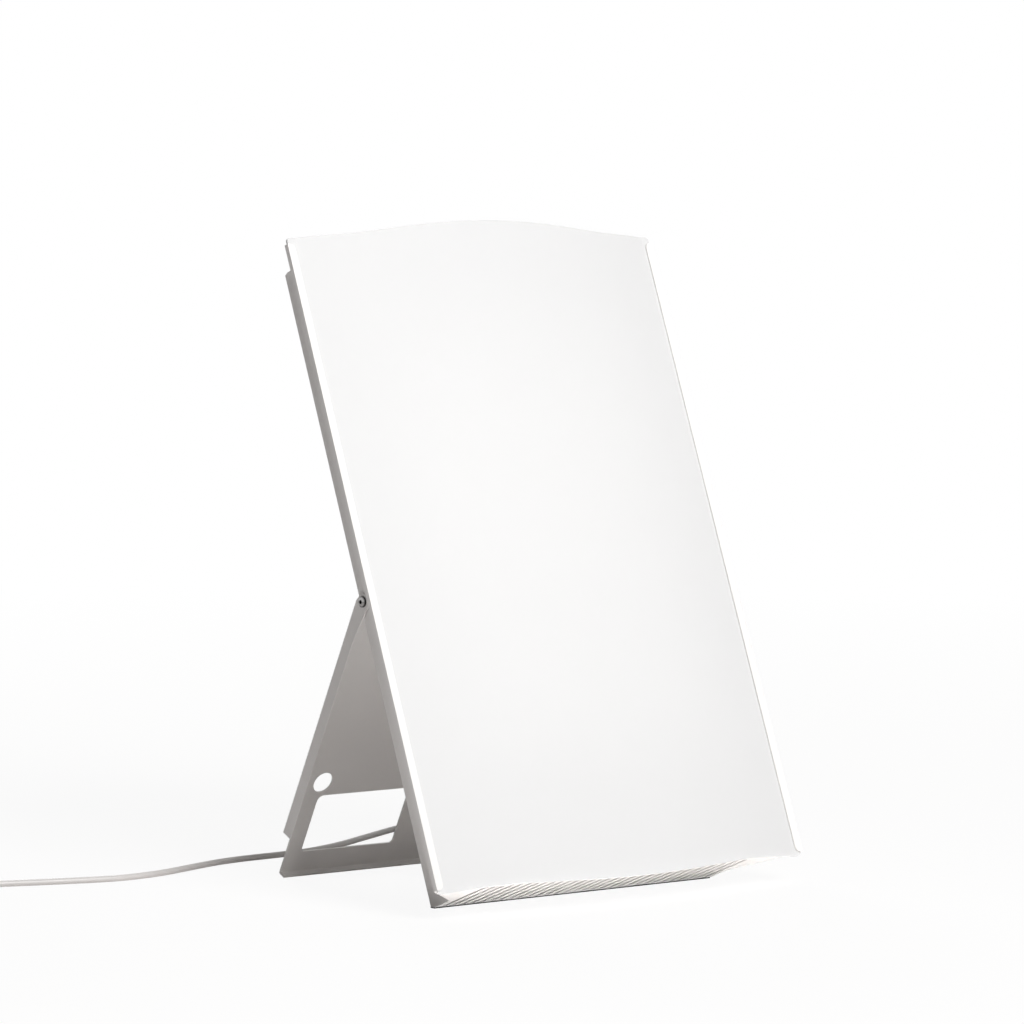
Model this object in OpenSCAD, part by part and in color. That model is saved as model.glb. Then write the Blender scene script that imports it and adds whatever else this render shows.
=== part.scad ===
// Light therapy lamp: a flat bright-light panel that leans on a folding rear stand.
// Millimetres, +Z up, the table is z = 0 and the light shines towards -Y.
// The lamp leans back: most pieces are drawn upright in the lamp's own axes, where x is
// across, v (local z) runs up the panel and w (local -y) runs from its back to its front.

/* [Housing] */
// Length of the housing and its side rails
panel_l = 551; // [500:1:620]
// Width over the side rails
panel_w = 395; // [380:1:460]
// Depth from the back panel to the front corner of the rails
panel_d = 73.7; // [68:0.1:90]
// Width of the flat box at the back
box_w = 301; // [280:1:310]
// Depth of the flat box at the back
box_d = 27; // [26:0.5:34]
// Thickness of the folded steel sheet
sheet_t = 1.2; // [1:0.1:1.5]
// Outer radius of the bends between the back panel and the side walls
back_bend_r = 2.5; // [2:0.25:4]
// Outer radius of the bends between the side walls and the flared wings
wing_bend_r = 2; // [1:0.25:4]
// Depth of the narrow outer face of each rail
rail_side = 4.5; // [2:0.1:5]
// Width of the rail's front lip that holds the diffuser
rail_lip = 7; // [5:0.5:10]
// Radius of the inner corners at the ends of the lips
lip_corner_r = 5; // [1:0.5:5]
// How far the lamp leans back from upright, in degrees
lean = 21.7; // [15:0.1:28]
// Depth of the flat that is cut at both ends of the back, on which the lamp stands
foot_cut = 5.2; // [4:0.1:8]

/* [Diffuser] */
// Thickness of the opal sheet
diffuser_t = 2; // [1.5:0.1:3]
// Height of the sheet's bow between its flat margins
bow = 23; // [15:0.5:30]
// Width of the sheet's flat margins along the rails
margin_w = 7.5; // [6:0.5:12]
// How far the sheet sticks out past the rails at each end, on average
overhang = 4.3; // [3:0.1:8]
// How far the sheet sits above the middle of the rails
sheet_rise = 1.4; // [0:0.1:2]
// Extra length of the sheet in the middle of each end
end_arch = 6.8; // [2:0.1:10]
// Half width of the arched stretch of each end
arch_half_w = 134; // [100:1:160]
// Gap between the sheet and the lip in front of it
lip_gap = 0.3; // [0.2:0.1:0.6]
// Gap between the sheet's side edges and the rails
edge_gap = 0.3; // [0.3:0.1:1]
// Corner radius of the sheet
diffuser_corner_r = 3; // [2:0.5:6]

/* [End plates] */
// Thickness of the two end plates
plate_t = 1.2; // [1:0.1:1.5]
// Number of vent slots in each end plate
slot_count = 30; // [15:1:31]
// Distance between neighbouring slots
slot_pitch = 9.75; // [8:0.05:9.75]
// Width of a slot
slot_w = 4.4; // [2:0.1:5.5]
// Distance from the back of the lamp to the near end of the slots
slot_from = 7; // [6.5:0.5:14]
// Distance from the back of the lamp to the far end of the slots
slot_to = 64; // [40:0.5:64]
// Height of the fixing tabs that lie on the back panel
tab_h = 11; // [9:0.5:16]
// Width of a fixing tab
tab_w = 24; // [14:1:40]
// Distance of the fixing tabs from the centre line
tab_x = 112; // [90:1:125]

/* [Stand] */
// Distance of the pivot above the housing's lower end
pivot_v = 260.3; // [230:0.1:262]
// Distance of the pivot in front of the back panel
pivot_w = 8; // [7:0.1:10]
// Thickness of the stand's sheet
stand_t = 1.5; // [1.2:0.1:2]
// Length of the stand from its pivot to the underside of its lip
stand_l = 272.5; // [272:0.5:290]
// Distance from the pivot to the lower end of the side flanges
flange_end = 230; // [205:1:240]
// Reach of the side flanges in front of the pivot
flange_front = 2.6; // [2:0.1:5]
// Radius of the rounded ears round the pivot
ear_r = 6.9; // [6:0.1:7]
// Distance below the pivot over which the ears narrow to the flanges
ear_taper = 38; // [14:1:60]
// Outer radius of the bends of the stand
stand_bend_r = 2; // [2:0.1:3]
// How much narrower the foot is than the flanges, on each side
foot_inset = 10.4; // [6:0.1:16]
// Depth of the lip that stands on the table
lip_d = 7.7; // [6:0.1:12]
// Gap between the folded stand and the back panel
fold_gap = 0.3; // [0.3:0.1:1]
// Width of a window in the stand
window_w = 98; // [70:1:104]
// Height of a window in the stand
window_h = 56; // [40:1:58]
// Distance from the side of the foot to the window
window_side = 15.4; // [12:0.1:20]
// Distance from the underside of the lip to the window
window_foot = 20.8; // [16:0.1:26]
// Radius of the windows' upper corners
window_top_r = 6; // [3:0.5:10]
// Radius of the windows' lower corners
window_low_r = 3.5; // [2:0.5:8]
// Radius of the round holes above the windows' outer corners
hang_r = 9.6; // [6:0.1:10]
// Distance from the window's outer edge to the centre of the round hole
hang_side = 0.3; // [0:0.1:20]
// Bridge between the window and the round hole
hang_bridge = 3.5; // [3:0.1:10]

/* [Pivots] */
// Radius of the pivot screws
screw_r = 2.5; // [2:0.1:2.5]
// Radial clearance of the ears on the screws
screw_gap = 0.08; // [0.05:0.01:0.1]
// Radius of the button heads
head_r = 4.6; // [4.3:0.1:5.2]
// Height of the button heads
head_h = 2.7; // [2:0.1:3.5]
// Width across the flats of the hexagonal socket
socket_w = 3; // [2:0.1:3.5]
// Depth of the socket
socket_d = 1.5; // [1:0.1:1.6]
// Thickness of the insert nuts' outer flanges
nut_flange_t = 0.8; // [0.6:0.1:1.2]
// Radius of the insert nuts' outer flanges
nut_flange_r = 5; // [4.5:0.1:5.8]
// Radius of the insert nuts' barrels
nut_r = 3.5; // [3.4:0.1:4]
// Length of the insert nuts behind the side wall
nut_l = 11; // [8:0.5:14]
// Running gap on each side of the ears
ear_gap = 0.15; // [0.1:0.05:0.3]

/* [Lighting] */
// Thickness of the reflector sheet
reflector_t = 0.8; // [0.5:0.1:1]
// Gap between the reflector and the housing
reflector_gap = 0.2; // [0.1:0.1:0.5]
// Distance of the reflector from the housing's ends
reflector_end = 14; // [13:0.5:30]
// Number of twin-limb tubes
tube_count = 4; // [2:1:5]
// Distance between neighbouring tubes
tube_pitch = 66; // [50:1:66]
// Radius of a glass limb
limb_r = 8.75; // [7:0.25:9]
// Distance between the two limbs of a tube
limb_pitch = 22; // [20:0.5:24]
// Length of the glass above the cap
limb_l = 385; // [300:1:400]
// Length of a tube's plastic cap
cap_l = 30; // [20:1:36]
// Gap between the reflector and the glass
tube_gap = 4; // [3:0.5:6]
// Distance of the lamp holders from the housing's lower end
holder_from = 48; // [30:1:60]
// Length of a lamp holder
holder_l = 20; // [16:1:26]

/* [Control gear] */
// Length of a ballast
ballast_l = 230; // [180:1:260]
// Width of a ballast
ballast_w = 30; // [24:1:34]
// Height of a ballast
ballast_h = 21; // [18:0.5:22]
// Distance of the ballasts from the centre line
ballast_x = 45; // [30:1:50]
// Thickness of the ballasts' feet
ballast_foot_t = 2; // [1.5:0.1:3]

/* [Switch] */
// Width of the switch's frame
switch_w = 15; // [13:0.5:18]
// Height of the switch's frame
switch_h = 21; // [19:0.5:25]
// Tilt of the rocker from its middle, in degrees
rocker_tilt = 9; // [6:0.5:10]

/* [Cord] */
// Diameter of the mains cord
cord_d = 5.4; // [4.6:0.1:6]
// Length of the tapered strain relief
boot_l = 32; // [24:1:40]
// Radius of the strain relief where it leaves the gland
boot_r = 5; // [4.4:0.1:6]
// Length of the plug's body
plug_l = 42; // [36:1:50]
// Radius of the plug's face
plug_r = 18.5; // [18.5:0.1:19]

/* [Hidden] */
$fn = 48;

// Finishes
white_paint = [0.87, 0.86, 0.85];
opal = [0.97, 0.97, 0.96];
steel = [0.7, 0.71, 0.72];
white_plastic = [0.9, 0.9, 0.88];
black_rubber = [0.06, 0.06, 0.06];
cord_grey = [0.8, 0.8, 0.78];

// Small measure that makes a cutting shape run past what it cuts
past = 1;

// ---- Helpers for folded sections ----

function unit(v) = v / norm(v);
function reversed(list) = [for (i = [len(list) - 1:-1:0]) list[i]];
function left_of(a, b) = let (d = unit(b - a)) [-d.y, d.x];

// Points of the arc that rounds the corner b between a and c
function rounded_corner(a, b, c, r, steps = 5) =
    let (
        u = unit(a - b),
        v = unit(c - b),
        corner = acos(u * v),
        centre = b + unit(u + v) * r / sin(corner / 2),
        turn = 180 - corner,
        from = b + u * r / tan(corner / 2) - centre,
        to = b + v * r / tan(corner / 2) - centre
    )
    [for (i = [0:steps])
        centre + (sin(turn * (1 - i / steps)) * from + sin(turn * i / steps) * to) / sin(turn)];

// A line of points moved sideways by d, to its left
function beside(line, d) =
    [for (i = [0:len(line) - 1])
        let (
            before = left_of(line[max(i - 1, 0)], line[max(i, 1)]),
            after = left_of(line[min(i, len(line) - 2)], line[min(i + 1, len(line) - 1)])
        )
        line[i] + d * (before + after) / (1 + before * after)];

// A closed outline with its own radius at each corner
function rounded_outline(corners, radii) =
    let (n = len(corners))
    [for (i = [0:n - 1])
        each rounded_corner(corners[(i + n - 1) % n], corners[i], corners[(i + 1) % n], radii[i])];

// ---- Shape of the front ----

// The sheet's two bowed faces and the front edges of the end plates share one centre
diffuser_w = panel_w - 2 * (sheet_t + edge_gap);
margin_x = diffuser_w / 2 - margin_w;
margin_face_w = panel_d - sheet_t - lip_gap;
bow_r = (margin_x * margin_x + bow * bow) / (2 * bow);
arc_w = margin_face_w + bow - bow_r;
plate_front_gap = 0.6;
plate_arc_r = bow_r - diffuser_t - plate_front_gap;
wing_end_w = panel_d - rail_side;

// Outer line of the folded housing, from the left rail to the right rail
housing_line = [
    [-panel_w / 2, wing_end_w],
    each rounded_corner([-panel_w / 2, wing_end_w], [-box_w / 2, box_d], [-box_w / 2, 0], wing_bend_r),
    each rounded_corner([-box_w / 2, box_d], [-box_w / 2, 0], [box_w / 2, 0], back_bend_r),
    each rounded_corner([-box_w / 2, 0], [box_w / 2, 0], [box_w / 2, box_d], back_bend_r),
    each rounded_corner([box_w / 2, 0], [box_w / 2, box_d], [panel_w / 2, wing_end_w], wing_bend_r),
    [panel_w / 2, wing_end_w]
];

// ---- Places of the lamp and of the stand ----

// Height of the flat that is cut into the housing's lower end, level with the table
foot_cut_v = foot_cut * tan(lean);
foot_strip_t = 1;

// The stand's own axes: s runs down the stand from the pivot, q runs forward from it
plate_q = -(pivot_w + fold_gap);
rear_q = plate_q - stand_t;
lip_q = rear_q + lip_d;
flange_x = box_w / 2 + nut_flange_t + ear_gap + stand_t;
foot_x = flange_x - foot_inset;

lamp_z = foot_strip_t - foot_cut * sin(lean);
pivot_z = lamp_z + pivot_w * sin(lean) + pivot_v * cos(lean);
stand_lean = acos(pivot_z / norm([stand_l, lip_q])) + atan2(lip_q, stand_l);
opening = lean + stand_lean;

// The plate's upper edge meets the back panel when the stand is fully open
stop_gap = 0.2;
plate_top = (pivot_w + stop_gap + plate_q * cos(opening)) / sin(opening);

// The lamp's own origin, placed so that the whole object is centred over the frame's origin
front_reach = (arc_w + bow_r) * cos(lean) + (overhang + end_arch - sheet_rise) * sin(lean);
rear_reach = pivot_v * sin(lean) - pivot_w * cos(lean)
    + stand_l * sin(stand_lean) - rear_q * cos(stand_lean);
lamp_y = (front_reach - rear_reach) / 2;
pivot_y = lamp_y - pivot_w * cos(lean) + pivot_v * sin(lean);

echo(lamp_y = lamp_y, lamp_z = lamp_z, pivot_y = pivot_y, pivot_z = pivot_z,
    stand_lean = stand_lean, opening = opening);

module in_lamp() {
    translate([0, lamp_y, lamp_z]) rotate([-lean, 0, 0]) children();
}

module in_stand() {
    translate([0, pivot_y, pivot_z]) rotate([stand_lean, 0, 0]) children();
}

// A section drawn across (x) and from back to front (y), stood up along the lamp
module along_lamp(from, to) {
    translate([0, 0, from]) mirror([0, 1, 0]) linear_extrude(to - from) children();
}

// A round piece or hole through the back panel, w from the panel's outer face
module through_back(x, v, r, from_w, to_w) {
    translate([x, -from_w, v]) rotate([90, 0, 0]) cylinder(r = r, h = to_w - from_w);
}

// A round piece or hole across the lamp at the pivot, x measured out from the centre
module at_pivot(side, r, from_x, to_x) {
    translate([side * from_x, -pivot_w, pivot_v]) rotate([0, side * 90, 0])
        cylinder(r = r, h = to_x - from_x);
}

// What is cut off both ends of the back, so that the lower one lies flat on the table
module foot_cuts() {
    for (end = [0, 1])
        translate([0, 0, end * panel_l]) mirror([0, 0, end])
            translate([-panel_w / 2, 0, 0]) rotate([90, 0, 90]) linear_extrude(panel_w)
                polygon([
                    [past, -past * tan(lean)],
                    [-foot_cut - past, -past * tan(lean)],
                    [past, (foot_cut + past) * tan(lean)]
                ]);
}

// ---- Housing ----

module rails() {
    for (side = [0, 1]) mirror([side, 0, 0]) {
        translate([panel_w / 2 - rail_lip, panel_d - sheet_t]) square([rail_lip, sheet_t]);
        translate([panel_w / 2 - sheet_t, wing_end_w]) square([sheet_t, rail_side]);
    }
}

// What rounds off the lips' inner corners at both ends of the rails
module lip_corner_cuts() {
    for (side = [0, 1], end = [0, 1])
        mirror([side, 0, 0]) translate([panel_w / 2 - rail_lip, -panel_d - past, end * panel_l])
            mirror([0, 0, end]) rotate([-90, 0, 0]) mirror([0, 1, 0])
                linear_extrude(2 * sheet_t + past) difference() {
                    translate([-past, -past])
                        square([lip_corner_r + past, lip_corner_r + past]);
                    translate([lip_corner_r, lip_corner_r]) circle(r = lip_corner_r);
                }
}

module housing_shell() {
    color(white_paint)
        in_lamp() difference() {
            union() {
                along_lamp(0, panel_l)
                    polygon([each housing_line, each reversed(beside(housing_line, sheet_t))]);
                along_lamp(0, panel_l) rails();
            }
            foot_cuts();
            lip_corner_cuts();
            for (side = [-1, 1]) {
                at_pivot(side, nut_r, box_w / 2 - 3 * sheet_t, box_w / 2 + past);
            }
            at_tab_screws() countersunk_head();
            through_back(gland_x, gland_v, gland_thread_r, -past, sheet_t + past);
            translate([gland_x - switch_hole_w / 2, -sheet_t - past, switch_v - switch_hole_h / 2])
                cube([switch_hole_w, sheet_t + 2 * past, switch_hole_h]);
        }
}

// ---- End plates ----

tab_screw_in = 4;
tab_screw_r = 1.5;
tab_head_r = 2.6;
tab_screw_l = 6;
side_gap = 0.3;
tab_face = sheet_t + side_gap;

module at_tab_screws() {
    for (side = [-1, 1], v = [tab_h - tab_screw_in, panel_l - tab_h + tab_screw_in])
        translate([side * tab_x, 0, v]) rotate([90, 0, 0]) children();
}

module countersunk_head() {
    cylinder(r1 = tab_head_r, r2 = tab_screw_r, h = sheet_t);
}

module end_plate_outline() {
    line = beside(housing_line, tab_face);
    difference() {
        intersection() {
            polygon([
                each line,
                [panel_w / 2 - tab_face, panel_d + bow],
                [-panel_w / 2 + tab_face, panel_d + bow]
            ]);
            translate([0, arc_w]) circle(r = plate_arc_r, $fn = 180);
            translate([-panel_w / 2, foot_cut]) square([panel_w, panel_d + bow]);
        }
        for (i = [0:slot_count - 1])
            translate([(i - (slot_count - 1) / 2) * slot_pitch, 0]) {
                translate([-slot_w / 2, slot_from + slot_w / 2])
                    square([slot_w, slot_to - slot_from - slot_w]);
                for (w = [slot_from + slot_w / 2, slot_to - slot_w / 2])
                    translate([0, w]) circle(d = slot_w, $fn = 16);
            }
    }
}

// Side view of the plate's folded back edge: along the flat, then up the back panel
module folded_edge(width, height) {
    edge = [
        [-foot_cut - 2 * plate_t, 0],
        [-foot_cut, 0],
        [-tab_face, (foot_cut - tab_face) * tan(lean)],
        [-tab_face, height]
    ];
    translate([-width / 2, 0, 0]) rotate([90, 0, 90]) linear_extrude(width)
        polygon([each edge, each reversed(beside(edge, plate_t))]);
}

// The lower end plate; the upper one is its mirror image
module end_plate() {
    back_w = box_w - 2 * (sheet_t + back_bend_r);
    difference() {
        union() {
            along_lamp(0, plate_t) end_plate_outline();
            folded_edge(back_w, foot_cut);
            for (side = [-1, 1]) translate([side * tab_x, 0, 0]) folded_edge(tab_w, tab_h);
        }
        for (side = [-1, 1])
            through_back(side * tab_x, tab_h - tab_screw_in, tab_screw_r, 0, tab_face + 2 * plate_t);
    }
}

module bottom_end_plate() {
    color(white_paint) in_lamp() end_plate();
}

module top_end_plate() {
    color(white_paint) in_lamp() translate([0, 0, panel_l]) mirror([0, 0, 1]) end_plate();
}

// Countersunk screws, flush with the back panel so that the stand folds flat over them
module end_plate_screws() {
    color(steel) in_lamp() at_tab_screws() difference() {
        union() {
            countersunk_head();
            cylinder(r = tab_screw_r, h = tab_screw_l);
        }
        translate([0, 0, -past]) cylinder(r = 1, h = past + 0.6, $fn = 6);
    }
}

// Thin rubber strip under the flat at the housing's lower end
module foot_strip() {
    strip_w = foot_cut / cos(lean) - 0.4;
    strip_l = box_w - 2;
    color(black_rubber)
        translate([-strip_l / 2, lamp_y - foot_cut * cos(lean) + 0.2, 0])
            cube([strip_l, strip_w, foot_strip_t]);
}

// ---- Light ----

module diffuser_outline() {
    half = panel_l / 2 + overhang;
    steps = 16;
    arch = [for (i = [0:steps])
        let (x = arch_half_w * (1 - 2 * i / steps))
        [x, half + end_arch * pow(cos(90 * x / arch_half_w), 1.15)]];
    half_w = diffuser_w / 2;
    top = [
        each rounded_corner([half_w, 0], [half_w, half], [arch_half_w, half], diffuser_corner_r),
        each arch,
        each rounded_corner([-arch_half_w, half], [-half_w, half], [-half_w, 0], diffuser_corner_r)
    ];
    polygon([each top, each [for (p = top) -p]]);
}

module diffuser_section() {
    intersection() {
        translate([0, arc_w]) difference() {
            circle(r = bow_r, $fn = 180);
            circle(r = bow_r - diffuser_t, $fn = 180);
        }
        translate([-margin_x - diffuser_t, 0]) square([2 * (margin_x + diffuser_t), panel_d + bow]);
    }
    for (side = [-1, 1])
        translate([side * (diffuser_w - margin_w) / 2, margin_face_w - diffuser_t / 2])
            square([margin_w, diffuser_t], center = true);
}

module diffuser() {
    color(opal, 0.9) in_lamp() intersection() {
        along_lamp(-panel_l / 2, 2 * panel_l) diffuser_section();
        translate([0, 0, panel_l / 2 + sheet_rise]) rotate([90, 0, 0])
            linear_extrude(panel_d + bow + past) diffuser_outline();
    }
}

// Line of the trough that the reflector follows, along the wings and across the box
trough_line = [
    [-panel_w / 2, wing_end_w],
    [-box_w / 2, box_d],
    [box_w / 2, box_d],
    [panel_w / 2, wing_end_w]
];
reflector_back = sheet_t + reflector_gap;
reflector_front_w = box_d + reflector_back + reflector_t;
reflector_trim = 14;

module reflector() {
    color(steel) in_lamp() along_lamp(reflector_end, panel_l - reflector_end)
        intersection() {
            polygon([
                each beside(trough_line, reflector_back),
                each reversed(beside(trough_line, reflector_back + reflector_t))
            ]);
            translate([-panel_w / 2 + reflector_trim, 0])
                square([panel_w - 2 * reflector_trim, panel_d]);
        }
}

tube_w = reflector_front_w + tube_gap + limb_r;
cap_from = holder_from + holder_l;
glass_from = cap_from + cap_l;
cap_w = limb_pitch + 2 * limb_r + 2;
cap_d = 2 * limb_r + 3;
clip_v = glass_from + limb_l - 40;
clip_h = 8;
clip_t = 1;
clip_gap = 0.15;

module at_tubes() {
    for (i = [0:tube_count - 1])
        translate([(i - (tube_count - 1) / 2) * tube_pitch, -tube_w, 0]) children();
}

module tube_glass() {
    bridge_r = 4;
    color([0.95, 0.95, 0.93]) in_lamp() at_tubes() {
        for (side = [-1, 1])
            translate([side * limb_pitch / 2, 0, glass_from]) {
                cylinder(r = limb_r, h = limb_l - limb_r);
                translate([0, 0, limb_l - limb_r]) sphere(r = limb_r);
            }
        translate([-limb_pitch / 2, 0, glass_from + limb_l - 2 * limb_r]) rotate([0, 90, 0])
            cylinder(r = bridge_r, h = limb_pitch);
    }
}

module tube_caps() {
    pin_r = 1.2;
    pin_l = 8;
    color(white_plastic) in_lamp() at_tubes() {
        translate([-cap_w / 2, -cap_d / 2, cap_from]) cube([cap_w, cap_d, cap_l]);
        for (i = [0:3])
            translate([(i - 1.5) * limb_pitch / 2, 0, cap_from - pin_l])
                cylinder(r = pin_r, h = pin_l + past);
    }
}

module lamp_holders() {
    pin_hole_r = 1.5;
    pin_hole_l = 9;
    color(white_plastic) in_lamp() at_tubes() difference() {
        translate([-cap_w / 2, -cap_d / 2, holder_from])
            cube([cap_w, cap_d / 2 + limb_r + tube_gap, holder_l]);
        for (i = [0:3])
            translate([(i - 1.5) * limb_pitch / 2, 0, cap_from - pin_hole_l])
                cylinder(r = pin_hole_r, h = pin_hole_l + past);
    }
}

// Spring clips that hold the free ends of the tubes
module tube_clips() {
    clip_in = limb_r + clip_gap;
    clip_out = clip_in + clip_t;
    color(steel) in_lamp() at_tubes() translate([0, 0, clip_v]) {
        for (side = [-1, 1])
            translate([side * limb_pitch / 2, 0, 0]) difference() {
                cylinder(r = clip_out, h = clip_h);
                translate([0, 0, -past]) cylinder(r = clip_in, h = clip_h + 2 * past);
                translate([-clip_out - past, -clip_out - past, -past])
                    cube([2 * (clip_out + past), clip_out + past - 3, clip_h + 2 * past]);
            }
        translate([-limb_pitch / 2 - 4, clip_in, 0])
            cube([limb_pitch + 8, limb_r + tube_gap - clip_in, clip_h]);
    }
}

// ---- Control gear ----

ballast_from = 150;
ballast_foot_l = 12;
ballast_screw_r = 2;

module at_ballasts() {
    for (side = [-1, 1]) translate([side * ballast_x, -sheet_t, ballast_from]) children();
}

module ballasts() {
    color([0.85, 0.86, 0.87]) in_lamp() at_ballasts() difference() {
        union() {
            translate([-ballast_w / 2, -ballast_h, ballast_foot_l])
                cube([ballast_w, ballast_h, ballast_l - 2 * ballast_foot_l]);
            translate([-ballast_w / 2, -ballast_foot_t, 0])
                cube([ballast_w, ballast_foot_t, ballast_l]);
        }
        for (v = [ballast_foot_l / 2, ballast_l - ballast_foot_l / 2])
            translate([0, past, v]) rotate([90, 0, 0])
                cylinder(r = ballast_screw_r, h = ballast_foot_t + 2 * past);
    }
}

module ballast_screws() {
    color(steel) in_lamp() at_ballasts()
        for (v = [ballast_foot_l / 2, ballast_l - ballast_foot_l / 2])
            translate([0, 0, v]) rotate([90, 0, 0]) {
                cylinder(r = ballast_screw_r, h = ballast_foot_t);
                translate([0, 0, ballast_foot_t]) cylinder(r = 3.6, h = 2.4);
            }
}

// The mains side of the back panel: gland, terminal block and switch in one column
gland_x = 104;
gland_v = 350;
gland_thread_r = 6;
gland_flange_r = 8;
gland_flange_t = 5;
gland_thread_l = 8;
block_h = 26;
block_w = 22;
block_d = 18;
block_v = gland_v - 60;
lead_r = 2.5;
lead_bend_r = 7;

module cable_gland() {
    color(white_plastic) in_lamp() {
        through_back(gland_x, gland_v, gland_flange_r, -gland_flange_t, 0);
        through_back(gland_x, gland_v, gland_thread_r, -past, gland_thread_l);
    }
}

module gland_nut() {
    color(white_plastic) in_lamp() translate([gland_x, -sheet_t, gland_v]) rotate([90, 0, 0])
        difference() {
            cylinder(r = 9, h = 4, $fn = 6);
            translate([0, 0, -past]) cylinder(r = gland_thread_r, h = 4 + 2 * past);
        }
}

module terminal_block() {
    color(white_plastic) in_lamp() difference() {
        translate([gland_x - block_w / 2, -sheet_t - block_d, block_v - block_h / 2])
            cube([block_w, block_d, block_h]);
        for (i = [-1:1])
            translate([gland_x + i * 7, -sheet_t - block_d - past, block_v]) rotate([-90, 0, 0])
                cylinder(r = 1.8, h = 6 + past);
    }
}

// The cord's inner end, from the gland down to the terminal block
module inlet_lead() {
    color(cord_grey) in_lamp() translate([gland_x, -gland_thread_l, gland_v]) {
        translate([0, 0, -lead_bend_r]) rotate([0, -90, 0])
            rotate_extrude(angle = -90) translate([lead_bend_r, 0]) circle(r = lead_r);
        translate([0, -lead_bend_r, block_v + block_h / 2 - gland_v])
            cylinder(r = lead_r, h = gland_v - lead_bend_r - block_v - block_h / 2);
    }
}

// ---- Switch ----

switch_v = gland_v + 70;
switch_hole_w = switch_w - 2;
switch_hole_h = switch_h - 2;
switch_face = 2;
switch_depth = 18;
rocker_w = switch_w - 4;
rocker_h = switch_h - 4;
rocker_gap = 0.4;
rocker_pin_r = 1.5;
rocker_pin_gap = 0.06;
rocker_axis_w = 1;

module switch_body() {
    well_w = rocker_w + 2 * rocker_gap;
    well_h = rocker_h + 2 * rocker_gap;
    well_d = 7;
    color([0.1, 0.1, 0.1]) in_lamp() difference() {
        union() {
            translate([gland_x - switch_w / 2, 0, switch_v - switch_h / 2])
                cube([switch_w, switch_face, switch_h]);
            translate([gland_x - switch_hole_w / 2, -switch_depth, switch_v - switch_hole_h / 2])
                cube([switch_hole_w, switch_depth + past, switch_hole_h]);
        }
        translate([gland_x - well_w / 2, -well_d, switch_v - well_h / 2])
            cube([well_w, well_d + switch_face + past, well_h]);
        translate([gland_x - well_w / 2 - 0.6, -rocker_axis_w, switch_v]) rotate([0, 90, 0])
            cylinder(r = rocker_pin_r + rocker_pin_gap, h = well_w + 1.2);
    }
}

// The rocker, drawn in its off position
module switch_rocker() {
    dish_r = 40;
    color([0.12, 0.12, 0.12]) in_lamp() translate([gland_x, -rocker_axis_w, switch_v])
        rotate([rocker_tilt, 0, 0]) {
            difference() {
                translate([-rocker_w / 2, -4, -rocker_h / 2 + 0.8])
                    cube([rocker_w, 9, rocker_h - 1.6]);
                translate([-rocker_w / 2 - past, dish_r + 3.2, 0]) rotate([0, 90, 0])
                    cylinder(r = dish_r, h = rocker_w + 2 * past, $fn = 96);
                for (end = [-1, 1])
                    translate([-rocker_w / 2 - past, -4 - past, end * rocker_h / 2])
                        rotate([45, 0, 0]) translate([0, -2.4, -2.4])
                            cube([rocker_w + 2 * past, 4.8, 4.8]);
            }
            translate([-rocker_w / 2 - 0.9, 0, 0]) rotate([0, 90, 0])
                cylinder(r = rocker_pin_r, h = rocker_w + 1.8);
        }
}

// ---- Stand ----

// Section across the stand, x across and y to the rear: a plate between two side flanges
module stand_section() {
    edge = [
        [-flange_x, -flange_front - ear_r],
        each rounded_corner([-flange_x, 0], [-flange_x, -rear_q], [0, -rear_q], stand_bend_r),
        each rounded_corner([0, -rear_q], [flange_x, -rear_q], [flange_x, 0], stand_bend_r),
        [flange_x, -flange_front - ear_r]
    ];
    polygon([each edge, each reversed(beside(edge, -stand_t))]);
}

// Side view of the flanges, y to the rear and z up, with the rounded ear at the pivot
module flange_side() {
    rear = [-rear_q, -6];
    front = [-flange_front, -ear_taper];
    rear_turn = atan2(rear.y, rear.x) + acos(ear_r / norm(rear));
    front_turn = atan2(front.y, front.x) - acos(ear_r / norm(front));
    end_r = 1.5;
    circle(r = ear_r, $fn = 96);
    polygon([
        [0, 0],
        ear_r * [cos(front_turn), sin(front_turn)],
        front,
        [-flange_front, -flange_end],
        each rounded_corner([-flange_front, -flange_end], [-rear_q, -flange_end], rear, end_r),
        rear,
        ear_r * [cos(rear_turn), sin(rear_turn)]
    ]);
}

module window_outline() {
    polygon(rounded_outline(
        [[0, 0], [window_w, 0], [window_w, window_h], [0, window_h]],
        [window_low_r, window_low_r, window_top_r, window_top_r]
    ));
}

window_x = foot_x - window_side;
window_low_z = -(stand_l - window_foot);
hang_x = window_x - hang_side;
hang_z = window_low_z + window_h + hang_bridge + hang_r;

// Foot of the stand in side view: the plate and the lip that is folded forward under it
module foot_side(from_z) {
    edge = [
        [-rear_q, from_z],
        each rounded_corner([-rear_q, 0], [-rear_q, -stand_l], [-lip_q, -stand_l], stand_bend_r),
        [-lip_q, -stand_l]
    ];
    polygon([each edge, each reversed(beside(edge, -stand_t))]);
}

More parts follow.
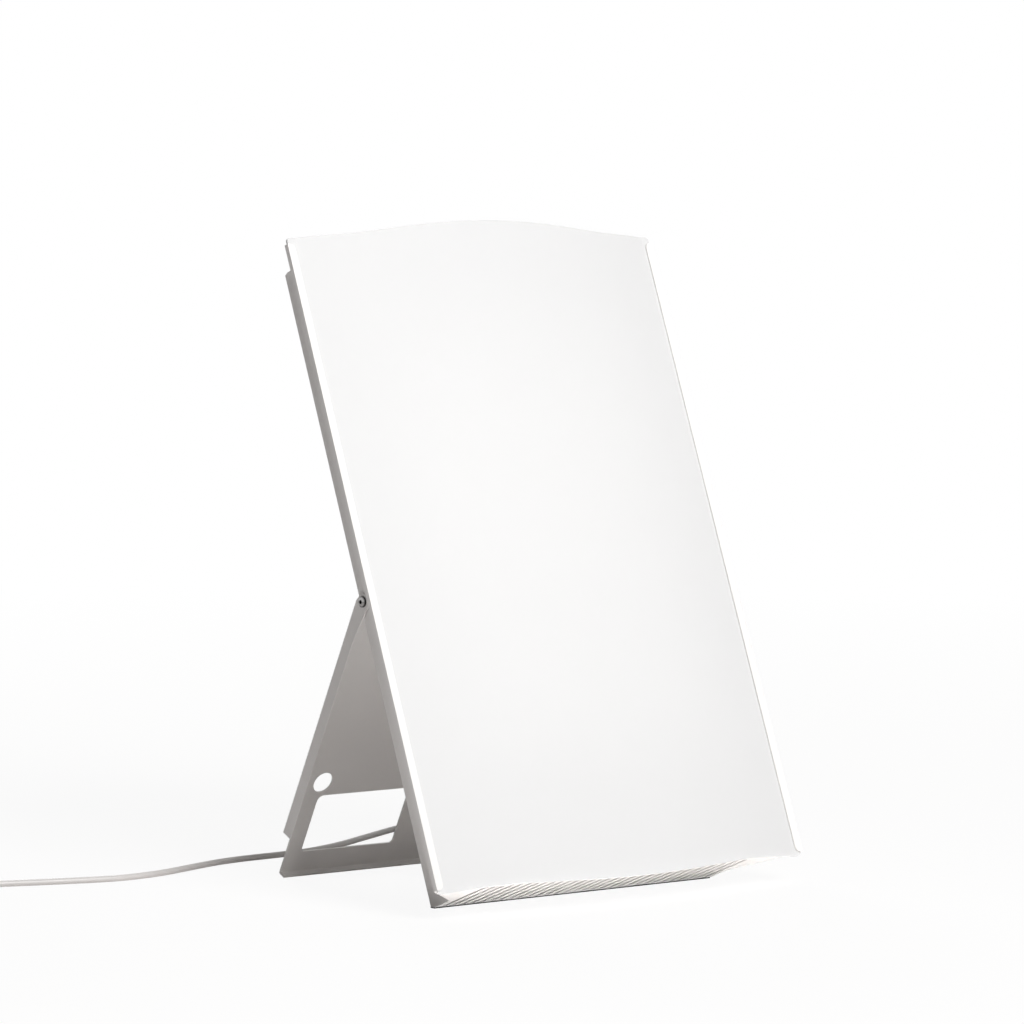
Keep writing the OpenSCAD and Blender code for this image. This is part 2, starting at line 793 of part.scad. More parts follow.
module stand() {
    foot_from = -flange_end + 20;
    plate_top_x = flange_x - 1.5 * stand_bend_r;
    color(white_paint) in_stand() difference() {
        union() {
            intersection() {
                translate([0, 0, -flange_end]) linear_extrude(flange_end + ear_r + past)
                    stand_section();
                translate([-flange_x - past, 0, 0]) rotate([90, 0, 90])
                    linear_extrude(2 * (flange_x + past)) flange_side();
            }
            translate([-foot_x, 0, 0]) rotate([90, 0, 90]) linear_extrude(2 * foot_x)
                foot_side(foot_from);
        }
        translate([-plate_top_x, -ear_r - past, -plate_top])
            cube([2 * plate_top_x, 3 * ear_r + past, plate_top + ear_r + past]);
        for (side = [-1, 1]) {
            translate([side * (flange_x + past), 0, 0]) rotate([0, -side * 90, 0])
                cylinder(r = screw_r + screw_gap, h = stand_t + 2 * past);
            translate([side * hang_x, -rear_q + past, hang_z]) rotate([90, 0, 0])
                cylinder(r = hang_r, h = stand_t + 2 * past);
            mirror([side < 0 ? 1 : 0, 0, 0])
                translate([window_x - window_w, -rear_q + past, window_low_z]) rotate([90, 0, 0])
                    linear_extrude(stand_t + 2 * past) window_outline();
        }
    }
}

// ---- Pivots ----

module pivot_screws() {
    head_from = flange_x + ear_gap;
    color(steel) in_lamp() for (side = [-1, 1]) difference() {
        union() {
            at_pivot(side, screw_r, box_w / 2 - nut_l + 1, head_from + past);
            translate([side * head_from, -pivot_w, pivot_v]) rotate([0, side * 90, 0])
                rotate_extrude() intersection() {
                    translate([0, head_h - head_r * 1.6]) circle(r = head_r * 1.6, $fn = 96);
                    square([head_r, head_h]);
                }
        }
        translate([side * (head_from + head_h - socket_d), -pivot_w, pivot_v])
            rotate([0, side * 90, 0]) cylinder(d = socket_w / cos(30), h = socket_d + past, $fn = 6);
    }
}

module pivot_nuts() {
    color(steel) in_lamp() for (side = [-1, 1]) difference() {
        union() {
            at_pivot(side, nut_flange_r, box_w / 2, box_w / 2 + nut_flange_t);
            at_pivot(side, nut_r, box_w / 2 - nut_l, box_w / 2 + nut_flange_t / 2);
        }
        at_pivot(side, screw_r, box_w / 2 - nut_l - past, box_w / 2 + nut_flange_t + past);
    }
}

// ---- Cord ----

// A point given in the lamp's own axes, as x across, w forward and v up the panel
function lamp_point(x, w, v) = [
    x,
    lamp_y - w * cos(lean) + v * sin(lean),
    lamp_z + w * sin(lean) + v * cos(lean)
];

boot_end_r = cord_d / 2 + 0.9;
cord_exit = lamp_point(gland_x, -gland_flange_t - boot_l, gland_v);
exit_way = [0, cos(lean), -sin(lean)];

module cord_boot() {
    ribs = 6;
    rib_gap = 1.2;
    color(cord_grey) in_lamp() translate([gland_x, gland_flange_t, gland_v]) rotate([-90, 0, 0])
        difference() {
            cylinder(r1 = boot_r, r2 = boot_end_r, h = boot_l);
            for (i = [0:ribs - 1])
                translate([0, 0, boot_l * (0.24 + 0.11 * i)]) difference() {
                    cylinder(r = boot_r + past, h = rib_gap);
                    translate([0, 0, -past]) cylinder(r = cord_d / 2 + 0.3, h = rib_gap + 2 * past);
                }
        }
}

// Route of the free cord from the strain relief to the coil, lying on the table from z = 2.7
cord_rest_z = cord_d / 2;
cord_route = [
    [104, 128, 299], [104, 147, 285], [105, 164, 265], [106, 178, 239], [107, 188, 209],
    [108, 196, 177], [110, 204, 143], [113, 213, 109], [118, 224, 77], [126, 239, 48],
    [136, 256, 25], [146, 275, 10], [153, 291, 3.6], [156, 304, 2.7], [153, 316, 2.7],
    [145, 325, 2.7], [134, 329, 2.7], [122, 329, 2.7], [108, 323, 2.7], [78, 307, 2.7],
    [48, 291, 2.7], [18, 275, 2.7], [-12, 262, 2.7], [-42, 253, 2.7], [-73, 250, 2.7],
    [-112, 248, 2.7], [-146, 242, 2.7], [-182, 230, 2.7], [-208, 221, 2.7], [-234, 215, 2.7],
    [-266, 213, 2.7], [-298, 220, 2.7], [-332, 231, 2.7], [-366, 243, 2.7], [-398, 251, 2.7],
    [-430, 254, 2.7]
];
coil_centre = [-465, 290];
coil_out_r = 36;
coil_turn_step = 6;
layer_rise = 6;
turns_all = 3.5;
coil_start = [coil_centre.x, coil_centre.y - coil_out_r, cord_rest_z];

// The coil, counted in turns: it spirals in, climbs a layer in half a turn and spirals out
function coil_r(t) = coil_out_r - coil_turn_step * min(t, turns_all - t);
function climb(t) = min(max(2 * (t - turns_all / 2) + 0.5, 0), 1);
function coil_z(t) = cord_rest_z + layer_rise * (1 - cos(180 * climb(t))) / 2;
function coil_point(t) = [
    coil_centre.x + coil_r(t) * cos(-90 - 360 * t),
    coil_centre.y + coil_r(t) * sin(-90 - 360 * t),
    coil_z(t)
];
loop_rings = 24;
coil_rings = turns_all * loop_rings;
straight_end = cord_d;
coil_path = [
    coil_start + [straight_end, 0, 0],
    for (i = [0:coil_rings]) coil_point(turns_all * i / coil_rings),
    coil_point(turns_all) + [straight_end, 0, 0]
];

// Least gap of the coil to itself, between points more than a quarter turn apart
coil_gap = min([for (i = [0:coil_rings], j = [i + 6:1:coil_rings])
    norm(coil_path[i + 1] - coil_path[j + 1])]) - cord_d;
echo(coil_gap = coil_gap);

// Plug beside the coil, its axis level with the table
plug_start = [-411, coil_centre.y + coil_out_r, plug_r];
tail_path = [
    coil_path[len(coil_path) - 1],
    [-450, 326, 9.2], [-441, 326, 11], [-432, 326, 13.6], [-423, 326, 16.6], [-416, 326, 18.2],
    plug_start
];

// A smooth curve through hand-chosen points, with n rings between neighbours
function between(p0, p1, p2, p3, t) =
    0.5 * (2 * p1 + (p2 - p0) * t + (2 * p0 - 5 * p1 + 4 * p2 - p3) * t * t
        + (3 * p1 - p0 - 3 * p2 + p3) * t * t * t);
function smooth_path(points, n) =
    let (last = len(points) - 1)
    [
        for (i = [0:last - 1], k = [0:n - 1])
            between(
                points[max(i - 1, 0)], points[i], points[i + 1], points[min(i + 2, last)], k / n
            ),
        points[last]
    ];

// A round tube swept along a path, as one closed skin of triangles
function along(path, i) = unit(path[min(i + 1, len(path) - 1)] - path[max(i - 1, 0)]);
function side_ways(path) = [
    for (
        i = 0, side = unit(cross(along(path, 0), [0.31, 0.17, 0.93]));
        i < len(path);
        i = i + 1,
        side = i < len(path) ? unit(side - (side * along(path, i)) * along(path, i)) : side
    ) side
];
module tube(path, d, sides) {
    ways = side_ways(path);
    n = len(path);
    points = [
        for (i = [0:n - 1], k = [0:sides - 1])
            let (up = cross(along(path, i), ways[i]), a = 360 * k / sides)
            path[i] + d / 2 * (ways[i] * cos(a) + up * sin(a)),
        path[0],
        path[n - 1]
    ];
    faces = [
        for (i = [0:n - 2], k = [0:sides - 1])
            let (a = i * sides + k, b = i * sides + (k + 1) % sides)
            each [[a, a + sides, b], [b, a + sides, b + sides]],
        for (k = [0:sides - 1]) each [
            [k, (k + 1) % sides, n * sides],
            [(n - 1) * sides + (k + 1) % sides, (n - 1) * sides + k, n * sides + 1]
        ]
    ];
    polyhedron(points = points, faces = faces);
}

cord_points = [
    cord_exit, cord_exit + 12 * exit_way, each cord_route, coil_path[0]
];

module cord() {
    color(cord_grey) tube(smooth_path(cord_points, 2), cord_d, 8);
}

module cord_coil() {
    color(cord_grey) tube(coil_path, cord_d, 6);
}

module cord_tail() {
    color(cord_grey) tube(tail_path, cord_d, 8);
}

// ---- Plug ----

pin_r = 2.4;
pin_pitch = 19;
pin_out = 19;
pin_in = 8;

module plug_body() {
    grip_r = 13;
    color(cord_grey) translate(plug_start) rotate([0, 90, 0]) difference() {
        union() {
            cylinder(r1 = cord_d / 2 + 1.2, r2 = 7, h = plug_l * 0.35);
            translate([0, 0, plug_l * 0.35]) cylinder(r1 = 9, r2 = grip_r, h = plug_l * 0.25);
            translate([0, 0, plug_l * 0.6]) cylinder(r1 = grip_r, r2 = plug_r, h = plug_l * 0.12);
            translate([0, 0, plug_l * 0.72]) cylinder(r = plug_r, h = plug_l * 0.28);
        }
        for (side = [-1, 1])
            translate([0, side * pin_pitch / 2, plug_l - pin_in]) cylinder(r = pin_r, h = pin_in + past);
        for (side = [-1, 1])
            translate([side * plug_r, 0, plug_l * 0.72 - past]) cylinder(r = 2.6, h = plug_l);
    }
}

module plug_pins() {
    color(steel) translate(plug_start) rotate([0, 90, 0]) for (side = [-1, 1])
        translate([0, side * pin_pitch / 2, plug_l - pin_in]) {
            cylinder(r = pin_r, h = pin_in + pin_out - pin_r);
            translate([0, 0, pin_in + pin_out - pin_r]) sphere(r = pin_r);
        }
}

housing_shell();
top_end_plate();
bottom_end_plate();
end_plate_screws();
foot_strip();
diffuser();
reflector();
tube_glass();
tube_caps();
lamp_holders();
tube_clips();
ballasts();
ballast_screws();
terminal_block();
inlet_lead();
switch_body();
switch_rocker();
stand();
pivot_screws();
pivot_nuts();
cable_gland();
gland_nut();
cord_boot();
cord();
cord_coil();
cord_tail();
plug_body();
plug_pins();
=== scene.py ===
from math import cos, pi, radians, sin

import bmesh
import bpy
from mathutils import Matrix, Vector


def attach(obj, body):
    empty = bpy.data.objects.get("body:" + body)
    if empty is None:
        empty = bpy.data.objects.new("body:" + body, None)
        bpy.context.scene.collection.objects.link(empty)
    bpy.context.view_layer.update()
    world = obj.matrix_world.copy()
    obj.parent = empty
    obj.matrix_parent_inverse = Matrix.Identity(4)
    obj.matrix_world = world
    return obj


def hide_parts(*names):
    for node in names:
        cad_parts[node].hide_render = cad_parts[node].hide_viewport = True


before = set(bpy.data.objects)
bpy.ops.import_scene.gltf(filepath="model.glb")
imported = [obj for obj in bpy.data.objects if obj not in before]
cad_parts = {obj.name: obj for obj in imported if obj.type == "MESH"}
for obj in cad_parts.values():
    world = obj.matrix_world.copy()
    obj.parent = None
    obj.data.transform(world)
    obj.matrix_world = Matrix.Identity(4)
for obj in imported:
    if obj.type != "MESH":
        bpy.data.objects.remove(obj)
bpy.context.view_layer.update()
scene = bpy.context.scene
scene.view_settings.view_transform = "Standard"

# ---- Camera ----

view_azimuth = radians(-39.27)
view_elevation = radians(3.83)
view_roll = radians(0.45)
view_distance = 4.158
view_target = Vector((0.0, 0.0201, 0.3130))
view_lens = 173.6


def make_camera():
    back = Vector((
        sin(view_azimuth) * cos(view_elevation),
        -cos(view_azimuth) * cos(view_elevation),
        sin(view_elevation),
    ))
    data = bpy.data.cameras.new("camera")
    data.lens = view_lens
    data.sensor_width = 36.0
    data.clip_start = 0.1
    data.clip_end = 60.0
    camera = bpy.data.objects.new("camera", data)
    turn = (-back).to_track_quat("-Z", "Y").to_matrix().to_4x4()
    place = Matrix.Translation(view_target + back * view_distance)
    camera.matrix_world = place @ turn @ Matrix.Rotation(view_roll, 4, "Z")
    scene.collection.objects.link(camera)
    scene.camera = camera


make_camera()

# ---- Mesh helpers ----


def new_object(name, mesh, material, body="lamp"):
    piece = bpy.data.objects.new(name, mesh)
    scene.collection.objects.link(piece)
    piece.data.materials.append(material)
    if body:
        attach(piece, body)
    return piece


# ---- Material helpers ----


def principled(name, colour, roughness, **sockets):
    """A new material with its main shader; sockets gives further constant inputs."""
    material = bpy.data.materials.new(name)
    material.use_nodes = True
    shader = material.node_tree.nodes["Principled BSDF"]
    shader.inputs["Base Color"].default_value = (*colour, 1.0)
    shader.inputs["Roughness"].default_value = roughness
    for socket, value in sockets.items():
        shader.inputs[socket.replace("_", " ")].default_value = value
    return material, shader


def link(material, source, out, target, into):
    material.node_tree.links.new(source.outputs[out], target.inputs[into])


def node(material, kind, **values):
    """A new shader node, with values for its inputs or its own settings."""
    made = material.node_tree.nodes.new(kind)
    for name, value in values.items():
        if name in made.inputs:
            made.inputs[name].default_value = value
        else:
            setattr(made, name, value)
    return made


def noise(material, scale, detail):
    """A noise texture fixed to the object, so it moves with its body."""
    place = node(material, "ShaderNodeTexCoord")
    made = node(material, "ShaderNodeTexNoise", Scale=scale, Detail=detail, Roughness=0.5)
    link(material, place, "Object", made, "Vector")
    return made


def bump_from(material, shader, source, out, strength, distance):
    bump = node(material, "ShaderNodeBump", Strength=strength, Distance=distance)
    link(material, source, out, bump, "Height")
    link(material, bump, "Normal", shader, "Normal")


def vary_colour(material, shader, source, out, dark, light):
    ramp = node(material, "ShaderNodeValToRGB")
    ramp.color_ramp.elements[0].position = 0.35
    ramp.color_ramp.elements[0].color = (*dark, 1.0)
    ramp.color_ramp.elements[1].position = 0.65
    ramp.color_ramp.elements[1].color = (*light, 1.0)
    link(material, source, out, ramp, "Fac")
    link(material, ramp, "Color", shader, "Base Color")


def vary_roughness(material, shader, source, out, low, high):
    spread = node(material, "ShaderNodeMapRange")
    spread.inputs["From Min"].default_value = 0.3
    spread.inputs["From Max"].default_value = 0.7
    spread.inputs["To Min"].default_value = low
    spread.inputs["To Max"].default_value = high
    link(material, source, out, spread, "Value")
    link(material, spread, "Result", shader, "Roughness")


def tinted(colour, factor):
    return tuple(min(1.0, c * factor) for c in colour)


# ---- Materials ----


def powder_coat(name, colour, roughness=0.42):
    """Baked paint with a fine orange peel and a slight unevenness."""
    material, shader = principled(name, colour, roughness)
    peel = noise(material, 900.0, 2.0)
    bump_from(material, shader, peel, "Fac", 0.12, 0.0003)
    cloud = noise(material, 7.0, 4.0)
    vary_colour(material, shader, cloud, "Fac", tinted(colour, 0.975), tinted(colour, 1.015))
    vary_roughness(material, shader, cloud, "Fac", roughness - 0.04, roughness + 0.05)
    return material


def opal_acrylic(name, colour, glow):
    """Milky sheet with a painted glow for the light shining through it from behind: satin
    outside, with light spread inside it.
    """
    material, shader = principled(name, colour, 0.6, IOR=1.49)
    shader.inputs["Specular IOR Level"].default_value = 0.3
    # Painted glow: a faint emission standing in for the tubes' light through the sheet, which
    # also evens out its shading.
    shader.inputs["Emission Color"].default_value = (1.0, 1.0, 0.995, 1.0)
    shader.inputs["Emission Strength"].default_value = glow
    shader.inputs["Subsurface Weight"].default_value = 0.25
    shader.inputs["Subsurface Radius"].default_value = (0.004, 0.004, 0.004)
    shader.inputs["Subsurface Scale"].default_value = 1.0
    cloud = noise(material, 3.0, 2.0)
    vary_colour(material, shader, cloud, "Fac", tinted(colour, 0.99), colour)
    grain = noise(material, 2200.0, 1.0)
    bump_from(material, shader, grain, "Fac", 0.04, 0.0001)
    return material


def moulded(name, colour, roughness, grain_scale=1400.0, grain=0.08, mottle=0.05):
    """Moulded plastic with a fine grain and a faint unevenness of tone."""
    material, shader = principled(name, colour, roughness)
    fine = noise(material, grain_scale, 2.0)
    bump_from(material, shader, fine, "Fac", grain, 0.0002)
    cloud = noise(material, 40.0, 3.0)
    dark, light = tinted(colour, 1 - mottle), tinted(colour, 1 + mottle)
    vary_colour(material, shader, cloud, "Fac", dark, light)
    vary_roughness(material, shader, cloud, "Fac", roughness - 0.05, roughness + 0.06)
    return material


def bright_metal(name, colour, roughness):
    """Plated or polished metal."""
    material, shader = principled(name, colour, roughness, Metallic=1.0)
    fine = noise(material, 500.0, 4.0)
    vary_roughness(material, shader, fine, "Fac", roughness - 0.06, roughness + 0.1)
    vary_colour(material, shader, fine, "Fac", tinted(colour, 0.9), colour)
    bump_from(material, shader, fine, "Fac", 0.06, 0.0001)
    return material


def socket_head(name, colour, roughness, centre, radius):
    """Bright screw metal round an axis along x, with painted shade inside the socket and a
    painted dark ring of shadow and reflection at the rim.
    """
    socket_edge, rim_from, rim_to = 1.15, 2.1, 2.8  # in socket radii
    material, shader = principled(name, colour, roughness, Metallic=1.0)
    place = node(material, "ShaderNodeTexCoord")
    flat = node(material, "ShaderNodeVectorMath", operation="MULTIPLY")
    flat.inputs[1].default_value = (0.0, 1.0, 1.0)
    away = node(material, "ShaderNodeVectorMath", operation="DISTANCE")
    away.inputs[1].default_value = (0.0, centre[1], centre[2])
    link(material, place, "Object", flat, 0)
    link(material, flat, "Vector", away, 0)
    ramp = node(material, "ShaderNodeMapRange")
    ramp.inputs["From Min"].default_value = radius
    ramp.inputs["From Max"].default_value = radius * socket_edge
    link(material, away, "Value", ramp, "Value")
    # Painted shade: near-black inside the socket, where the recess lies in shade.
    tone = node(material, "ShaderNodeMix", data_type="RGBA")
    tone.inputs[6].default_value = (0.01, 0.01, 0.01, 1.0)
    tone.inputs[7].default_value = (*colour, 1.0)
    link(material, ramp, "Result", tone, 0)
    rim = node(material, "ShaderNodeMapRange")
    rim.inputs["From Min"].default_value = radius * rim_from
    rim.inputs["From Max"].default_value = radius * rim_to
    link(material, away, "Value", rim, "Value")
    # Painted shadow and reflection: near-black towards the rim of the head.
    shade = node(material, "ShaderNodeMix", data_type="RGBA")
    shade.inputs[7].default_value = (0.03, 0.03, 0.03, 1.0)
    link(material, rim, "Result", shade, 0)
    link(material, tone, 2, shade, 6)
    link(material, shade, 2, shader, "Base Color")
    fine = noise(material, 600.0, 4.0)
    vary_roughness(material, shader, fine, "Fac", roughness - 0.05, roughness + 0.1)
    return material


def coated_glass(name, colour, glow):
    """White coated tube glass that glows faintly."""
    material, shader = principled(name, colour, 0.12)
    shader.inputs["Emission Color"].default_value = (1.0, 0.99, 0.97, 1.0)
    shader.inputs["Emission Strength"].default_value = glow
    shader.inputs["Coat Weight"].default_value = 0.6
    cloud = noise(material, 20.0, 2.0)
    vary_colour(material, shader, cloud, "Fac", tinted(colour, 0.97), colour)
    return material


coat_white = (0.84, 0.822, 0.806)
pivot = (0.0, 0.026183, 0.243888)
socket_r = 0.0016
nickel = (0.36, 0.355, 0.35)

finishes = {
    "housing_shell": powder_coat("housing_paint", coat_white),
    "top_end_plate": powder_coat("end_plate_paint", coat_white),
    "bottom_end_plate": powder_coat("low_end_plate_paint", coat_white),
    "stand": powder_coat("stand_paint", coat_white),
    "diffuser": opal_acrylic("opal_sheet", (0.66, 0.66, 0.66), 0.04),
    "reflector": powder_coat("reflector_white", (0.9, 0.9, 0.89), 0.3),
    "tube_glass": coated_glass("coated_glass", (0.92, 0.92, 0.9), 1.5),
    "tube_caps": moulded("cap_plastic", (0.78, 0.78, 0.76), 0.45),
    "lamp_holders": moulded("holder_plastic", (0.82, 0.82, 0.8), 0.5),
    "tube_clips": bright_metal("clip_steel", (0.72, 0.72, 0.72), 0.3),
    "ballasts": powder_coat("ballast_paint", (0.8, 0.8, 0.81), 0.35),
    "ballast_screws": bright_metal("zinc_plate", (0.68, 0.69, 0.7), 0.32),
    "end_plate_screws": bright_metal("zinc_plate_head", (0.7, 0.7, 0.7), 0.3),
    "pivot_nuts": bright_metal("nut_zinc", (0.6, 0.6, 0.6), 0.35),
    "pivot_screws": socket_head("screw_nickel", nickel, 0.2, pivot, socket_r),
    "terminal_block": moulded("block_plastic", (0.8, 0.8, 0.78), 0.5),
    "inlet_lead": moulded("lead_jacket", (0.6, 0.59, 0.57), 0.45),
    "cable_gland": moulded("gland_plastic", (0.6, 0.59, 0.57), 0.42),
    "gland_nut": moulded("gland_nut_plastic", (0.6, 0.59, 0.57), 0.42),
    "cord_boot": moulded("boot_plastic", (0.58, 0.57, 0.55), 0.48),
    "plug_body": moulded("plug_plastic", (0.6, 0.59, 0.57), 0.42, 900.0, 0.12),
    "plug_pins": bright_metal("pin_nickel", (0.78, 0.77, 0.74), 0.18),
    "switch_body": moulded("switch_black", (0.025, 0.025, 0.026), 0.45),
    "switch_rocker": moulded("rocker_black", (0.03, 0.03, 0.031), 0.3),
    # Near-black strip along the bottom back edge, which draws the dark line along it.
    "foot_strip": moulded("foot_strip_dark", (0.02, 0.02, 0.02), 0.75, 700.0, 0.3),
}

for name, material in finishes.items():
    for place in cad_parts[name].material_slots:
        place.material = material

# ---- Cord: the route of the part's own cord, in metres ----

cord_diameter = 0.0054
rest_z = cord_diameter / 2
lamp_lean = radians(21.7)
cord_exit = Vector((0.104, 0.101160, 0.310593))
exit_way = Vector((0.0, cos(lamp_lean), -sin(lamp_lean)))
exit_straight = 0.012
route = [
    (0.104, 0.128, 0.299), (0.104, 0.147, 0.285), (0.105, 0.164, 0.265),
    (0.106, 0.178, 0.239), (0.107, 0.188, 0.209), (0.108, 0.196, 0.177),
    (0.110, 0.204, 0.143), (0.113, 0.213, 0.109), (0.118, 0.224, 0.077),
    (0.126, 0.239, 0.048), (0.136, 0.256, 0.025), (0.146, 0.275, 0.010),
    (0.153, 0.291, 0.0036), (0.156, 0.304, 0.0027), (0.153, 0.316, 0.0027),
    (0.145, 0.325, 0.0027), (0.134, 0.329, 0.0027), (0.122, 0.329, 0.0027),
    (0.108, 0.323, 0.0027), (0.078, 0.307, 0.0027), (0.048, 0.291, 0.0027),
    (0.018, 0.275, 0.0027), (-0.012, 0.262, 0.0027), (-0.042, 0.253, 0.0027),
    (-0.073, 0.250, 0.0027), (-0.112, 0.248, 0.0027), (-0.146, 0.242, 0.0027),
    (-0.182, 0.230, 0.0027), (-0.208, 0.221, 0.0027), (-0.234, 0.215, 0.0027),
    (-0.266, 0.213, 0.0027), (-0.298, 0.220, 0.0027), (-0.332, 0.231, 0.0027),
    (-0.366, 0.243, 0.0027), (-0.398, 0.251, 0.0027), (-0.430, 0.254, 0.0027),
]
coil_centre = Vector((-0.465, 0.290))
coil_out_r = 0.036
turn_step = 0.006
layer_rise = 0.006
turns_all = 3.5
loop_points = 48
span_points = 6
plug_start = Vector((-0.411, coil_centre.y + coil_out_r, 0.0185))
tail = [
    (-0.450, 0.326, 0.0092), (-0.441, 0.326, 0.0110), (-0.432, 0.326, 0.0136),
    (-0.423, 0.326, 0.0166), (-0.416, 0.326, 0.0182),
]


def coil_point(turn):
    """Turns inwards in the lower layer, climbs half way, and outwards in the upper layer."""
    radius = coil_out_r - turn_step * min(turn, turns_all - turn)
    climb = min(max(2 * (turn - turns_all / 2) + 0.5, 0.0), 1.0)
    angle = radians(-90 - 360 * turn)
    return Vector((
        coil_centre.x + radius * cos(angle),
        coil_centre.y + radius * sin(angle),
        rest_z + layer_rise * (1 - cos(pi * climb)) / 2,
    ))


def smooth_path(points, steps):
    """A curve through every point, with the same number of steps between neighbours."""
    made = []
    last = len(points) - 1
    for i in range(last):
        p0, p1 = points[max(i - 1, 0)], points[i]
        p2, p3 = points[i + 1], points[min(i + 2, last)]
        for k in range(steps):
            t = k / steps
            made.append(0.5 * (
                2 * p1 + (p2 - p0) * t + (2 * p0 - 5 * p1 + 4 * p2 - p3) * t * t
                + (3 * p1 - p0 - 3 * p2 + p3) * t * t * t
            ))
    made.append(points[last])
    return made


def make_cord(material):
    straight = Vector((cord_diameter, 0.0, 0.0))
    start = coil_point(0.0)
    free = [cord_exit, cord_exit + exit_straight * exit_way, *[Vector(p) for p in route]]
    free.append(start + straight)
    rings = int(turns_all * loop_points)
    coil = [coil_point(turns_all * i / rings) for i in range(rings + 1)]
    end = [coil[-1] + straight, *[Vector(p) for p in tail], plug_start]
    path = smooth_path(free, span_points) + coil + smooth_path(end, span_points)
    curve = bpy.data.curves.new("mains_cord", "CURVE")
    curve.dimensions = "3D"
    curve.bevel_depth = cord_diameter / 2
    curve.bevel_resolution = 5
    curve.use_fill_caps = True
    spline = curve.splines.new("POLY")
    spline.points.add(len(path) - 1)
    for point, where in zip(spline.points, path):
        point.co = (*where, 1.0)
    spline.use_smooth = True
    piece = new_object("mains_cord", curve, material)
    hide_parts("cord", "cord_coil", "cord_tail")


cord_pvc = moulded("cord_pvc", (0.6, 0.58, 0.565), 0.4, 600.0, 0.02, 0.012)
make_cord(cord_pvc)

# ---- Tie round the coil ----


def make_tie(material):
    """A flat band round the turns on the coil's left side, with its ends twisted together."""
    inner, outer, height = 0.0253, 0.0377, 0.0118
    corner, band, thick = 0.0025, 0.0035, 0.0006
    corner_steps = 5
    outline = []
    for x, z, from_angle in (
        (outer - corner, height - corner, 0), (inner + corner, height - corner, 90),
        (inner + corner, corner, 180), (outer - corner, corner, 270),
    ):
        for i in range(corner_steps + 1):
            angle = radians(from_angle + 90 * i / corner_steps)
            outline.append((x, z, cos(angle), sin(angle)))
    mesh = bmesh.new()
    rows = []
    for x, z, nx, nz in outline:
        row = []
        for side, depth in ((-1, 0.0), (-1, thick), (1, thick), (1, 0.0)):
            grow = depth - thick
            row.append(mesh.verts.new((
                coil_centre.x - (x + grow * nx), coil_centre.y + side * band / 2, z + grow * nz,
            )))
        rows.append(row)
    for i, row in enumerate(rows):
        after = rows[(i + 1) % len(rows)]
        for k in range(4):
            mesh.faces.new((row[k], row[(k + 1) % 4], after[(k + 1) % 4], after[k]))
    bmesh.ops.recalc_face_normals(mesh, faces=mesh.faces)
    data = bpy.data.meshes.new("coil_tie")
    mesh.to_mesh(data)
    mesh.free()
    piece = new_object("coil_tie", data, material)
    twist = bpy.data.curves.new("coil_tie_twist", "CURVE")
    twist.dimensions = "3D"
    strand_r, twist_r, twist_length, twist_steps = 0.0007, 0.0009, 0.011, 40
    twist_z, twist_climb = 0.006, 0.002
    half_turns = 3
    twist.bevel_depth = strand_r
    for start in (0.0, pi):
        spline = twist.splines.new("POLY")
        spline.points.add(twist_steps)
        for i, point in enumerate(spline.points):
            along = i / twist_steps
            angle = start + along * half_turns * pi
            point.co = (
                coil_centre.x - outer - twist_length * along,
                coil_centre.y + twist_r * cos(angle),
                twist_z + twist_climb * along + twist_r * sin(angle),
                1.0,
            )
    ends = new_object("coil_tie_twist", twist, material)


make_tie(moulded("tie_plastic", (0.05, 0.05, 0.05), 0.5))

# ---- Stage: floor, surround and lights ----


def white_to_camera(name, colour, share):
    """A pale matte surface that shows as white, fully so far away, and keeps its shadows."""
    material, shader = principled(name, colour, 0.9)
    shader.inputs["Specular IOR Level"].default_value = 0.0
    light = node(material, "ShaderNodeEmission", Strength=1.0)
    rays = node(material, "ShaderNodeLightPath")
    place = node(material, "ShaderNodeNewGeometry")
    distance = node(material, "ShaderNodeVectorMath", operation="LENGTH")
    link(material, place, "Position", distance, 0)
    fade = node(material, "ShaderNodeMapRange")
    near, far = 0.7, 3.0
    limits = {"From Min": near, "From Max": far, "To Min": share, "To Max": 1.0}
    for socket, value in limits.items():
        fade.inputs[socket].default_value = value
    link(material, distance, "Value", fade, "Value")
    scale = node(material, "ShaderNodeMath", operation="MULTIPLY")
    link(material, fade, "Result", scale, 1)
    link(material, rays, "Is Camera Ray", scale, 0)
    mix = node(material, "ShaderNodeMixShader")
    link(material, scale, 0, mix, 0)
    link(material, shader, "BSDF", mix, 1)
    link(material, light, "Emission", mix, 2)
    output = material.node_tree.nodes["Material Output"]
    link(material, mix, "Shader", output, "Surface")
    return material


def make_floor():
    half = 14.0
    mesh = bpy.data.meshes.new("floor")
    corners = [(-half, -half, 0), (half, -half, 0), (half, half, 0), (-half, half, 0)]
    mesh.from_pydata(corners, [], [(0, 1, 2, 3)])
    material = white_to_camera("floor_white", (0.89, 0.865, 0.855), 0.92)
    piece = new_object("floor", mesh, material, None)
    piece.visible_shadow = False  # the two lights under the floor shine up through it


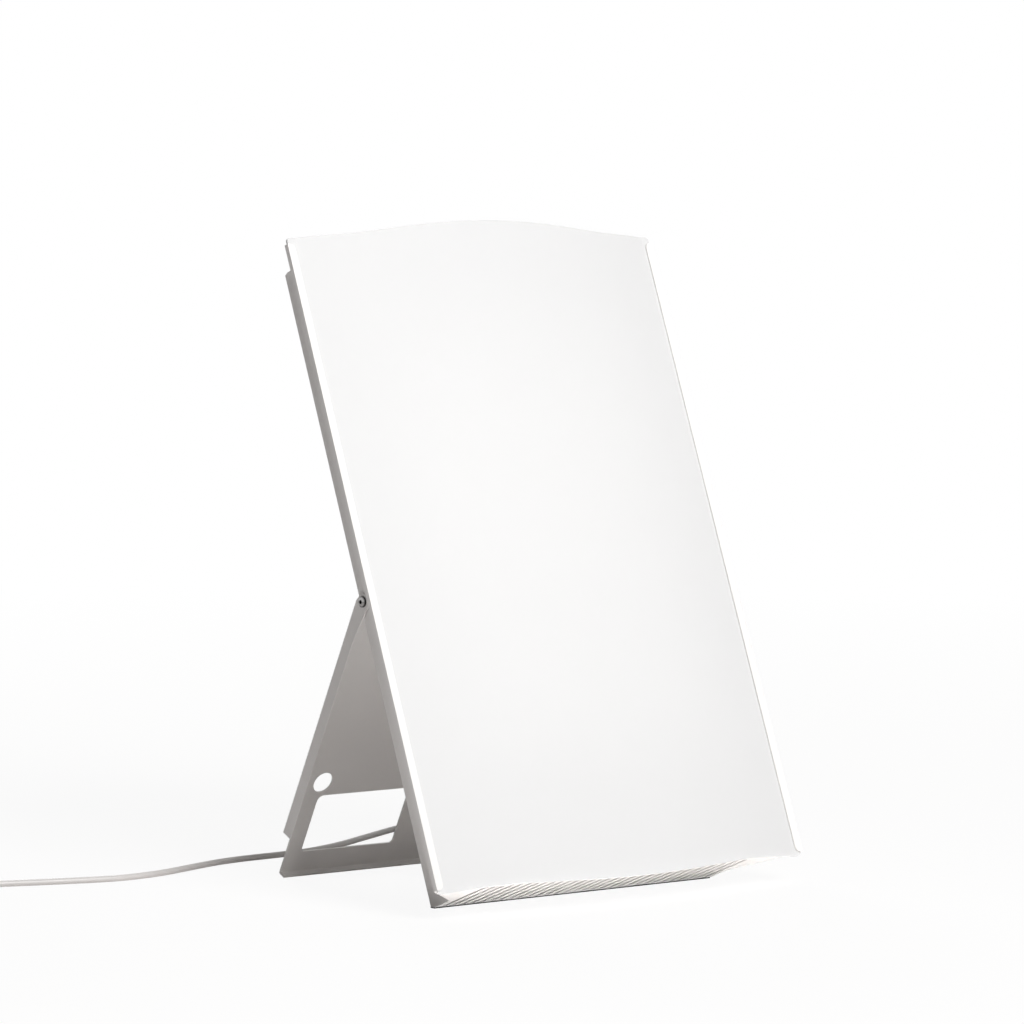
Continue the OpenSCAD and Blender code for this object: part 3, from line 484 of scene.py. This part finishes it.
def make_world():
    """White where it is seen or reflected, and a faint fill as a light."""
    world = bpy.data.worlds.new("studio")
    scene.world = world
    world.use_nodes = True
    tree = world.node_tree
    tree.nodes.clear()
    rays = tree.nodes.new("ShaderNodeLightPath")
    seen = tree.nodes.new("ShaderNodeMath")
    seen.operation = "MAXIMUM"
    seen_all = tree.nodes.new("ShaderNodeMath")
    seen_all.operation = "MAXIMUM"
    fill = tree.nodes.new("ShaderNodeBackground")
    fill.inputs["Strength"].default_value = 0.07
    white = tree.nodes.new("ShaderNodeBackground")
    white.inputs["Strength"].default_value = 1.0
    for background in (fill, white):
        background.inputs["Color"].default_value = (1.0, 1.0, 1.0, 1.0)
    mix = tree.nodes.new("ShaderNodeMixShader")
    output = tree.nodes.new("ShaderNodeOutputWorld")
    tree.links.new(rays.outputs["Is Camera Ray"], seen.inputs[0])
    tree.links.new(rays.outputs["Is Glossy Ray"], seen.inputs[1])
    tree.links.new(seen.outputs[0], seen_all.inputs[0])
    tree.links.new(rays.outputs["Is Transmission Ray"], seen_all.inputs[1])
    tree.links.new(seen_all.outputs[0], mix.inputs[0])
    tree.links.new(fill.outputs[0], mix.inputs[1])
    tree.links.new(white.outputs[0], mix.inputs[2])
    tree.links.new(mix.outputs[0], output.inputs["Surface"])


def area_light(name, place, target, size, power, spread=180):
    """An elliptical lamp at place that faces target, with its beam as wide as spread."""
    data = bpy.data.lights.new(name, "AREA")
    data.shape = "ELLIPSE"
    data.size, data.size_y = size
    data.energy = power
    data.spread = radians(spread)
    lamp = bpy.data.objects.new(name, data)
    lamp.location = place
    lamp.rotation_mode = "QUATERNION"
    aim = Vector(target) - Vector(place)
    lamp.rotation_quaternion = aim.to_track_quat("-Z", "Y")
    scene.collection.objects.link(lamp)


make_floor()
make_world()
area_light("key", (-0.34, -3.25, 2.6), (0.0, 0.0, 0.28), (2.0, 2.0), 172.0)
area_light("back", (0.9, 2.8, 2.2), (0.0, 0.1, 0.25), (1.6, 1.6), 40.0)
area_light("under_back", (0.2, 0.7, -0.9), (0.0, -0.05, 0.1), (0.6, 0.6), 2.2)
area_light("under_front", (-0.03, -0.16, -0.3), (-0.03, -0.12, 0.02), (0.5, 0.12), 0.205, 40)
